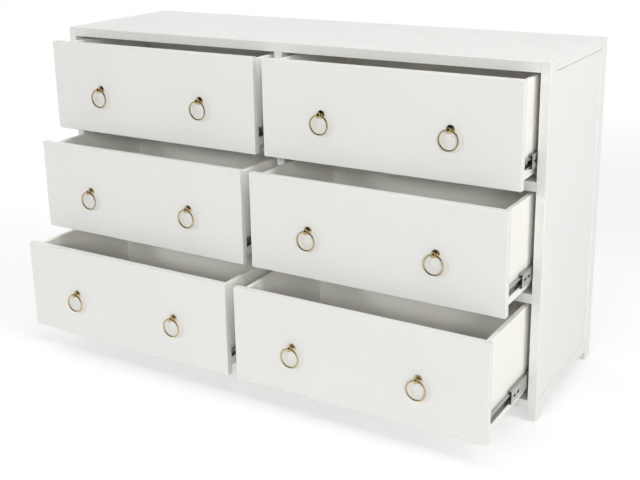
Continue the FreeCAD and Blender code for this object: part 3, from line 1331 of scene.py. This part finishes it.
@dataclass
class Case:
    """The standing case: framed sides, top, partition, rails, bottom, back and feet."""

    palette: Palette
    nodes: Nodes
    edge_round: Rounding = Rounding(0.002)
    frame_round: Rounding = Rounding(0.0012, 3)
    joint_round: Rounding = Rounding(0.0009, 2)
    ledge_round: Rounding = Rounding(0.0026)
    shadow_groove: Pair = (0.0027, 0.004)
    glide_sides: int = 32
    glide_shares: Outline = (
        (1.0, 0.0), (1.0, 0.55), (0.94, 0.80), (0.78, 0.95),
        (0.45, 1.0), (0.30, 1.0), (0.27, 0.8), (0.05, 0.75),
    )
    back_screw_pitch: float = 0.16
    back_screw_inset: float = 0.006
    back_head_share: float = 0.8
    body: str = "case"

    def lacquered(self, piece: Piece, *nodes: str) -> None:
        """Dresses a lacquered board of the case."""
        self.palette.dress(piece, WHITE_LACQUER, "white_lacquer", self.body, *nodes)

    def build_top(self) -> None:
        """Builds the top, with its edges rounded."""
        span = Span.of("top_panel")
        piece = Bench.block("top_board", span)
        corners = [((Y, value), (Z, span.high.z)) for value in span.along(Y)]
        Bench.round_edges(piece, self.edge_round, *corners)
        corners = [((X, value), (Y, span.low.y)) for value in span.along(X)]
        Bench.round_edges(piece, self.joint_round, *corners)
        self.lacquered(Bench.eased(piece), "top_panel")

    def build_side(self, side: Side) -> None:
        """Builds one framed side: two posts, two rails and the panel between them.

        Args:
            side: which side.
        """
        name = side.value
        front, rear = Span.of(f"{name}_front_leg"), Span.of(f"{name}_rear_leg")
        outer = front.high.x if side.sign > 0 else front.low.x
        inner = front.low.x if side.sign > 0 else front.high.x
        for label, span, face, edge in (
            ("front", front, front.low.y, front.high.y),
            ("rear", rear, rear.high.y, rear.low.y),
        ):
            top = span.high.z
            corners = (((X, outer), (Y, face)), ((X, outer), (Z, top)), ((Y, face), (Z, top)))
            piece = Bench.block(f"{name}_{label}_post", span)
            if label == "rear":
                Bench.cut(piece, self.rebate(inner))
            Bench.round_edges(piece, self.edge_round, *corners)
            Bench.round_edges(piece, self.frame_round, ((X, outer), (Y, edge)))
            if label == "front":
                Bench.round_edges(piece, self.joint_round, ((X, inner), (Y, face)))
            self.lacquered(Bench.eased(piece), f"{name}_{label}_leg")
        between = (front.high.y, rear.low.y)
        lower, upper = solids(self.nodes[f"{name}_side_rails"])
        rails = []
        for rail, rounding in ((lower, self.ledge_round), (upper, self.edge_round)):
            board = Bench.block("rail", Span.between((inner, outer), between, rail.along(Z)))
            Bench.round_edges(board, self.frame_round, ((X, outer), (Z, rail.low.z)))
            Bench.round_edges(board, rounding, ((X, outer), (Z, rail.high.z)))
            rails.append(Bench.eased(board))
        self.lacquered(Bench.join(f"{name}_frame_rails", rails), f"{name}_side_rails")
        panel = Span.of(f"{name}_side_panel")
        recessed = panel.high.x if side.sign > 0 else panel.low.x
        span = Span.between((inner, recessed), between, (lower.high.z, upper.low.z))
        piece = Bench.board(f"{name}_panel_board", span)
        width, depth = self.shadow_groove
        groove = Span.between(
            (recessed - side.sign * depth, recessed + side.sign * depth),
            (between[0] - depth, between[1] + depth),
            (upper.low.z - width, upper.low.z + width),
        )
        Bench.cut(piece, Bench.block("groove", groove))
        self.lacquered(Bench.smooth(piece), f"{name}_side_panel")

    @staticmethod
    def rebate(inner: float) -> Piece:
        """Makes the cutter for the rebate in which the back sits.

        Args:
            inner: where the rear post's inner face stands.

        Returns:
            The cutter.
        """
        back = Span.of("back_panel")
        edge = math.copysign(back.high.x, inner)
        span = Span.between((0, edge), (back.low.y, 2 * back.high.y), back.along(Z))
        return Bench.block("rebate", span)

    def build_inside(self) -> None:
        """Builds the partition, the rails and the bottom."""
        for name, node in (
            ("partition_board", "centre_partition"),
            ("plinth_rail", "bottom_front_rail"),
            ("floor_board", "bottom_panel"),
        ):
            self.lacquered(Bench.board(name, Span.of(node)), node)
        for name, node in (("row_rails", "front_rails"), ("hanging_rails", "rear_rails")):
            boards = [Bench.board("rail", span) for span in solids(self.nodes[node])]
            self.lacquered(Bench.join(name, boards), node)

    def build_back(self, screws: ScrewBox) -> None:
        """Builds the back, with screws sunk into it round its edge.

        Args:
            screws: the screws.
        """
        back = Span.of("back_panel")
        edge = Vector((self.back_screw_inset,) * 3)
        low, size = back.low + edge, back.size - 2 * edge
        high = back.high - edge
        columns, rows = round(size.x / self.back_screw_pitch), round(size.z / self.back_screw_pitch)
        sides, ends = (low.x, high.x), (low.z, high.z)
        spots = [(low.x + size.x * step / columns, z) for step in range(columns + 1) for z in ends]
        spots += [(x, low.z + size.z * step / rows) for step in range(1, rows) for x in sides]
        seat = back.high.y - screws.head_height
        places = [Vector((x, seat, z)) for x, z in spots]
        piece = Bench.board("back_board", back)
        Bench.cut(piece, screws.counterbores(places, BACKWARD))
        Bench.smooth(piece)
        self.palette.dress(piece, BACK_BOARD, "back_board", self.body, "back_panel")
        heads = screws.drive("back_screws", places, BACKWARD, self.back_head_share)
        self.palette.dress(heads, SCREW_STEEL, "zinc_steel", self.body)

    def build_glides(self) -> None:
        """Builds a turned nylon glide under each leg."""
        spans = solids(self.nodes["foot_glides"])
        radius, height = spans[0].size.x / 2, spans[0].size.z
        outline = [(radius * wide, height * deep) for wide, deep in self.glide_shares]
        master = Bench.turn("glide", outline, self.glide_sides)
        down = Matrix.Rotation(math.pi / 2, 4, "X")
        tops = [Vector((span.centre.x, span.centre.y, span.high.z)) for span in spans]
        glides = [Bench.copy(master, "glide", Matrix.Translation(top) @ down) for top in tops]
        Bench.discard(master)
        piece = Bench.smooth(Bench.join("nylon_glides", glides))
        self.palette.dress(piece, GLIDE_PLASTIC, "glide_plastic", self.body, "foot_glides")


@dataclass(frozen=True)
class Lamp:
    """A soft square lamp that looks at a point."""

    name: str
    place: Point
    target: Point
    size: float
    power: float
    mirrored: bool = True

    def hang(self) -> None:
        """Adds the lamp, which shows in polished metal only where it is mirrored."""
        light = bpy.data.lights.new(self.name, "AREA")
        light.shape = "SQUARE"
        light.size = self.size
        light.energy = self.power
        lamp = add_object(self.name, light)
        lamp.location = self.place
        look = Vector(self.target) - Vector(self.place)
        lamp.rotation_euler = look.to_track_quat("-Z", "Y").to_euler()
        lamp.visible_glossy = self.mirrored


@dataclass(frozen=True)
class Flag:
    """A dark card that only polished surfaces see: it paints dark reflections into them, and it neither
    lights nor shades anything, nor shows to the camera.
    """

    name: str
    place: Point
    tilt: Point
    size: Pair

    def hang(self, material: Material) -> None:
        """Adds the card.

        Args:
            material: its material.
        """
        Bench.select()
        bpy.ops.mesh.primitive_plane_add(size=1)
        card = bpy.context.object
        card.name = self.name
        card.scale = (*self.size, 1)
        card.rotation_euler = self.tilt
        card.location = self.place
        card.data.materials.append(material)
        card.visible_camera = False
        card.visible_diffuse = False
        card.visible_shadow = False
        card.visible_transmission = False


@dataclass
class Studio:
    """A plain white studio: floor, soft lamps, white surroundings and the photograph's camera."""

    camera_place: Point = (1.3795, -2.1447, 1.2040)
    azimuth: float = math.radians(31.438)
    elevation: float = math.radians(15.836)
    roll: float = math.radians(-1.025)
    lens: float = 57.89
    shift: float = -0.10
    ambient: float = 0.10
    floor_size: float = 30.0
    floor_drop: float = 0.0003
    floor_shadow_share: float = 0.65
    floor_level: float = 0.77
    floor_fade: Pair = (1.4, 3.2)
    floor_tones: tuple[Colour, Colour] = ((0.90, 0.90, 0.90, 1.0), (0.92, 0.92, 0.915, 1.0))
    floor_mottle: float = 5.0
    painted_reflection_tones: tuple[Colour, Colour] = ((0.030, 0.027, 0.022, 1.0), (0.045, 0.040, 0.033, 1.0))
    flag_mottle: float = 3.0
    mottle_detail: float = 2.0
    matt: float = 0.9
    lamps: tuple[Lamp, ...] = (
        Lamp("right_lamp", (3.4, -0.2, 1.1), (0.3, 0.0, 0.4), 2.0, 20.0),
        Lamp("high_right_lamp", (2.6, -0.5, 2.9), (0.2, -0.1, 0.4), 1.6, 31.0, False),
        Lamp("overhead_lamp", (0.0, -0.3, 3.4), (0.0, 0.0, 0.4), 2.6, 38.0, False),
        Lamp("camera_lamp", (8.7, -11.3, 4.9), (0.0, -0.2, 0.42), 2.7, 635.0, False),
        Lamp("front_lamp", (1.4, -9.0, 4.6), (0.0, -0.2, 0.42), 1.8, 115.0, False),
        Lamp("left_lamp", (-3.2, -6.2, 2.8), (0.0, -0.2, 0.42), 0.9, 95.0, False),
        Lamp("rear_lamp", (-2.8, 2.4, 1.6), (0.0, 0.0, 0.4), 2.0, 56.0, False),
    )
    # Painted reflections: dark cards that appear only in reflections on the brass, steel and lacquer.
    flags: tuple[Flag, ...] = (
        Flag("dark_wall", (2.0, -7.0, 3.2), (math.pi / 2, 0.0, 0.0), (20.0, 5.6)),
        Flag("dark_ceiling", (0.0, -1.0, 6.0), (0.0, 0.0, 0.0), (20.0, 12.0)),
        Flag("dark_ground", (0.0, -5.0, 0.002), (0.0, 0.0, 0.0), (20.0, 6.2)),
    )

    def set_camera(self) -> None:
        """Places the camera at the photograph's angle."""
        data = bpy.data.cameras.new("camera")
        data.lens = self.lens
        data.shift_y = self.shift
        camera = add_object("camera", data)
        turn = Matrix.Rotation(self.azimuth, 4, "Z")
        tilt = Matrix.Rotation(math.pi / 2 - self.elevation, 4, "X")
        roll = Matrix.Rotation(self.roll, 4, "Z")
        camera.matrix_world = Matrix.Translation(self.camera_place) @ turn @ tilt @ roll
        bpy.context.scene.camera = camera

    @staticmethod
    def seen(graph: Graph) -> Socket:
        """Tells what is seen from what lights.

        Args:
            graph: the tree to wire.

        Returns:
            1 for rays from the camera, mirrors and glass, and 0 for the light that falls on things.
        """
        path = graph.add("ShaderNodeLightPath").outputs
        shown = graph.combine("MAXIMUM", path["Is Camera Ray"], path["Is Glossy Ray"])
        return graph.combine("MAXIMUM", shown, path["Is Transmission Ray"])

    def set_surroundings(self) -> None:
        """Sets surroundings that are white where seen, and a softer grey where they light."""
        world = bpy.data.worlds.new("surroundings")
        world.use_nodes = True
        bpy.context.scene.world = world
        graph = Graph(world.node_tree)
        world.node_tree.nodes.clear()
        lights, shown = (
            graph.add("ShaderNodeBackground", {"Color": WHITE, "Strength": strength}).outputs[0]
            for strength in (self.ambient, 1.0)
        )
        mixed = graph.add("ShaderNodeMixShader", {0: self.seen(graph), 1: lights, 2: shown}).outputs[0]
        graph.add("ShaderNodeOutputWorld", {"Surface": mixed})

    def matt_material(
        self, name: str, mottle: float, tones: tuple[Colour, Colour]
    ) -> tuple[Material, Graph, bpy.types.Node]:
        """Starts a matt material that is mottled in two tones.

        Args:
            name: the material's name.
            mottle: how fine the mottling is.
            tones: the two tones.

        Returns:
            The material, its graph and its shader.
        """
        material, graph, shader = new_material(name, {"Roughness": self.matt})
        colour = graph.blend(graph.noise(mottle, self.mottle_detail), *tones)
        graph.link(colour, shader.inputs["Base Color"])
        return material, graph, shader

    def floor_material(self) -> Material:
        """Makes a pale floor that keeps a light shadow near the chest and fades into white further off.

        Returns:
            Its material.
        """
        material, graph, shader = self.matt_material("studio_floor", self.floor_mottle, self.floor_tones)
        place = {0: graph.coordinates()}
        far = graph.add("ShaderNodeVectorMath", place, operation="LENGTH").outputs["Value"]
        kept = graph.spread(far, self.floor_fade, self.floor_shadow_share, 0.0)
        seen = self.seen(graph)
        hidden = graph.combine("MULTIPLY", seen, graph.combine("SUBTRACT", 1.0, kept))
        shaded = graph.add("ShaderNodeMixShader", {0: hidden, 1: shader.outputs[0]}).outputs[0]
        lost = graph.combine("MULTIPLY", kept, self.floor_level)
        strength = graph.combine("MULTIPLY", seen, graph.combine("SUBTRACT", 1.0, lost))
        glow = graph.add("ShaderNodeEmission", {"Color": WHITE, "Strength": strength}).outputs[0]
        surface = graph.add("ShaderNodeAddShader", {0: shaded, 1: glow}).outputs[0]
        graph.link(surface, graph.tree.nodes["Material Output"].inputs["Surface"])
        return material

    def lay_floor(self) -> None:
        """Lays the floor just under the glides."""
        Bench.select()
        bpy.ops.mesh.primitive_plane_add(size=self.floor_size, location=(0, 0, -self.floor_drop))
        floor = Bench.settle("studio_floor")
        floor.data.materials.append(self.floor_material())

    def build(self) -> None:
        """Sets up the whole studio."""
        self.lay_floor()
        self.set_surroundings()
        self.set_camera()
        for lamp in self.lamps:
            lamp.hang()
        dark = self.matt_material("painted_reflection_card", self.flag_mottle, self.painted_reflection_tones)[0]
        for flag in self.flags:
            flag.hang(dark)
        bpy.context.scene.view_settings.view_transform = "Standard"


def main() -> None:
    """Loads the frame, builds each sub-assembly and sets up the studio."""
    logging.basicConfig(level=logging.INFO, format="%(message)s")
    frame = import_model()
    nodes = frame["nodes"]
    palette, screws, pull = Palette(), ScrewBox(), RingPull()
    case = Case(palette, nodes)
    case.build_top()
    for side in Side:
        case.build_side(side)
    case.build_inside()
    case.build_back(screws)
    case.build_glides()
    drawers = [Drawer(row, bay) for bay in Side for row in Row]
    runners = RunnerSet(RunnerPress(), nodes, screws, palette)
    runners.prepare(drawers[0])
    for drawer in drawers:
        drawer.build_front(palette)
        drawer.build_tray(palette)
        drawer.build_pulls(palette, pull, screws, nodes)
        runners.build_drawer(drawer)
    for bay in Side:
        runners.build_fixed(bay, [drawer for drawer in drawers if drawer.bay is bay])
    runners.clear()
    Bench.discard(screws.head, pull.post, pull.ring)
    Studio().build()


if __name__ == "__main__":
    main()
